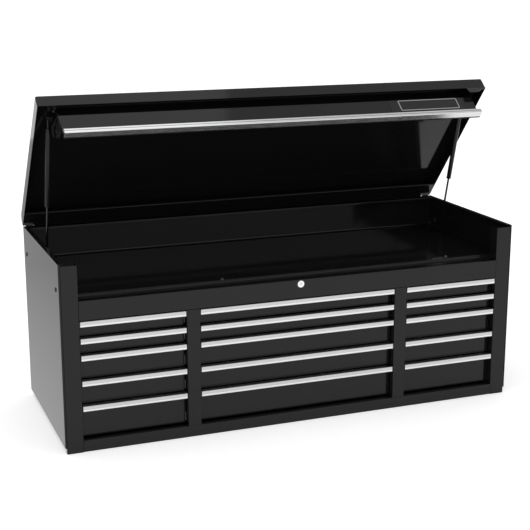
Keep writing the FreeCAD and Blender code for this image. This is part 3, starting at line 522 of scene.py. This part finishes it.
def wall(bm, lower, upper):
    """Faces between two closed rings of vertices."""
    count = len(lower)
    for number in range(count):
        following = (number + 1) % count
        bm.faces.new((lower[number], lower[following], upper[following], upper[number]))


def slab(bm, corners, direction, thickness):
    """A flat plate: corners of its lower face, raised along a direction. Returns its top face."""
    lift = Vector(direction).normalized() * thickness
    lower = [bm.verts.new(corner) for corner in corners]
    upper = [bm.verts.new(Vector(corner) + lift) for corner in corners]
    bm.faces.new(lower[::-1])
    top = bm.faces.new(upper)
    wall(bm, lower, upper)
    return top


def rounded_rectangle(low, high, radius, steps=5):
    """The outline of a rectangle with round corners, as pairs."""
    outline = []
    centres = ((high[0] - radius, high[1] - radius), (low[0] + radius, high[1] - radius),
               (low[0] + radius, low[1] + radius), (high[0] - radius, low[1] + radius))
    for quarter, centre in enumerate(centres):
        for step in range(steps + 1):
            angle = math.pi / 2 * (quarter + step / steps)
            outline.append((centre[0] + radius * math.cos(angle), centre[1] + radius * math.sin(angle)))
    return outline


def dome(bm, place, direction, radius, height):
    """A low domed head standing on a surface."""
    profile = [(radius, 0), (radius, height * 0.3)]
    for step in range(1, 6):
        angle = math.pi / 2 * step / 6
        profile.append((radius * math.cos(angle), height * (0.3 + 0.7 * math.sin(angle))))
    lathe(bm, profile, facing(place, direction), 24)


def make_cheek_pads():
    """The oblique pad on each cheek of the drop front, and the screw in its tab."""
    for side, word in ((-1, "left"), (1, "right")):
        across = CHEEK_FACE * side
        bm = bmesh.new()
        corners = [lid_place(across, *corner) for corner in CHEEK_PAD]
        top = slab(bm, corners, (side, 0, 0), CHEEK_PAD_HEIGHT)
        bmesh.ops.bevel(bm, geom=list(top.edges), offset=CHEEK_PAD_EASING, segments=2, affect="EDGES")
        finish_mesh("cheek_pad_" + word, bm, MATERIALS["black_paint"], "lid", smooth=False)
        bm = bmesh.new()
        dome(bm, lid_place(across, *CHEEK_SCREW_PLACE), (side, 0, 0), *CHEEK_SCREW_SIZE)
        finish_mesh("cheek_screw_" + word, bm, MATERIALS["zinc_steel"], "lid")


def make_badge():
    """A bare plate on the drop front's face, with a plain line round it."""
    corners = [lid_place(across, PANEL_FACE, depth) for across, depth in rounded_rectangle(*BADGE_PLATE)]
    bm = bmesh.new()
    slab(bm, corners, lid_direction(-1, 0), BADGE_THICKNESS)
    finish_mesh("badge_plate", bm, BADGE, "lid", smooth=False)
    outer = rounded_rectangle(*BADGE_LINE_OUTER)
    inner = rounded_rectangle(*BADGE_LINE_INNER)
    face = PANEL_FACE - BADGE_THICKNESS
    raised = face - BADGE_LINE_HEIGHT
    bm = bmesh.new()
    rings = []
    for outline, level in ((outer, face), (outer, raised), (inner, raised), (inner, face)):
        rings.append([bm.verts.new(lid_place(across, level, depth)) for across, depth in outline])
    for first, second in zip(rings, rings[1:] + rings[:1]):
        wall(bm, first, second)
    finish_mesh("badge_line", bm, BORDER, "lid", smooth=False)


def make_till_edge():
    """The sloping nose along the till floor's front, and the small fittings beside it."""
    corners = [(-TILL_NOSE_HALF_WIDTH, CASE_FRONT + y, z) for y, z in TILL_NOSE]
    bm = bmesh.new()
    slab(bm, corners, (1, 0, 0), 2 * TILL_NOSE_HALF_WIDTH)
    finish_mesh("till_nose", bm, MATERIALS["black_paint"], "chest", smooth=False)
    # The till's screws and strike are in the zinc darkened as painted shade.
    bm = bmesh.new()
    for (across, behind), size in TILL_SCREWS:
        dome(bm, (across, CASE_FRONT + behind, TILL_FLOOR_LEVEL), (0, 0, 1), *size)
    finish_mesh("till_screws", bm, SHADED_ZINC, "chest")
    corners = [(across, along, TILL_FLOOR_LEVEL) for across, along in rounded_rectangle(*TILL_STRIKE)]
    bm = bmesh.new()
    slab(bm, corners, (0, 0, 1), TILL_STRIKE_HEIGHT)
    finish_mesh("till_strike", bm, SHADED_ZINC, "chest", smooth=False)


def make_hinge_shade_strips():
    """Black plastic strips beside the ends of the continuous hinge, put there as painted shade to darken the
    hinge's ends.
    """
    for side, word in ((-1, "left"), (1, "right")):
        low, high = sorted(side * reach for reach in HINGE_END_REACH)
        bottom, top = HINGE_END_LEVELS
        outline = rounded_rectangle((low, bottom), (high, top), HINGE_END_ROUNDING)
        bm = bmesh.new()
        corners = [(across, CASE_BACK + HINGE_END_SETBACK, level) for across, level in outline]
        slab(bm, corners, (0, 1, 0), HINGE_END_THICKNESS)
        finish_mesh("hinge_shade_strip_" + word, bm, MATERIALS["black_plastic"], "chest", smooth=False)


def make_hinge_rivets():
    """Rivets through both leaves of the continuous hinge."""
    places = [RIVET_START + RIVET_SPACING * number for number in range(RIVET_COUNT)]
    bm = bmesh.new()
    for across in places:
        dome(bm, (across, CASE_BACK + LEAF_THICKNESS, HINGE_AXIS[1] - RIVET_OFFSET), (0, 1, 0), *RIVET_SIZE)
    finish_mesh("hinge_rivets_case", bm, MATERIALS["zinc_steel"], "chest")
    bm = bmesh.new()
    back_face = CASE_BACK + LID_REAR_OVERHANG + LEAF_THICKNESS - CASE_FRONT
    for across in places:
        place = lid_place(across, back_face, LID_TOP_LEVEL - HINGE_AXIS[1] - RIVET_OFFSET)
        dome(bm, place, lid_direction(1, 0), *RIVET_SIZE)
    finish_mesh("hinge_rivets_lid", bm, MATERIALS["zinc_steel"], "lid")


dress_nodes()
make_cheek_pads()
make_badge()
make_till_edge()
make_hinge_shade_strips()
make_hinge_rivets()
make_floor()
make_cards()
make_world()
make_lamps()
make_camera()

scene = bpy.context.scene
scene.view_settings.view_transform = "Standard"
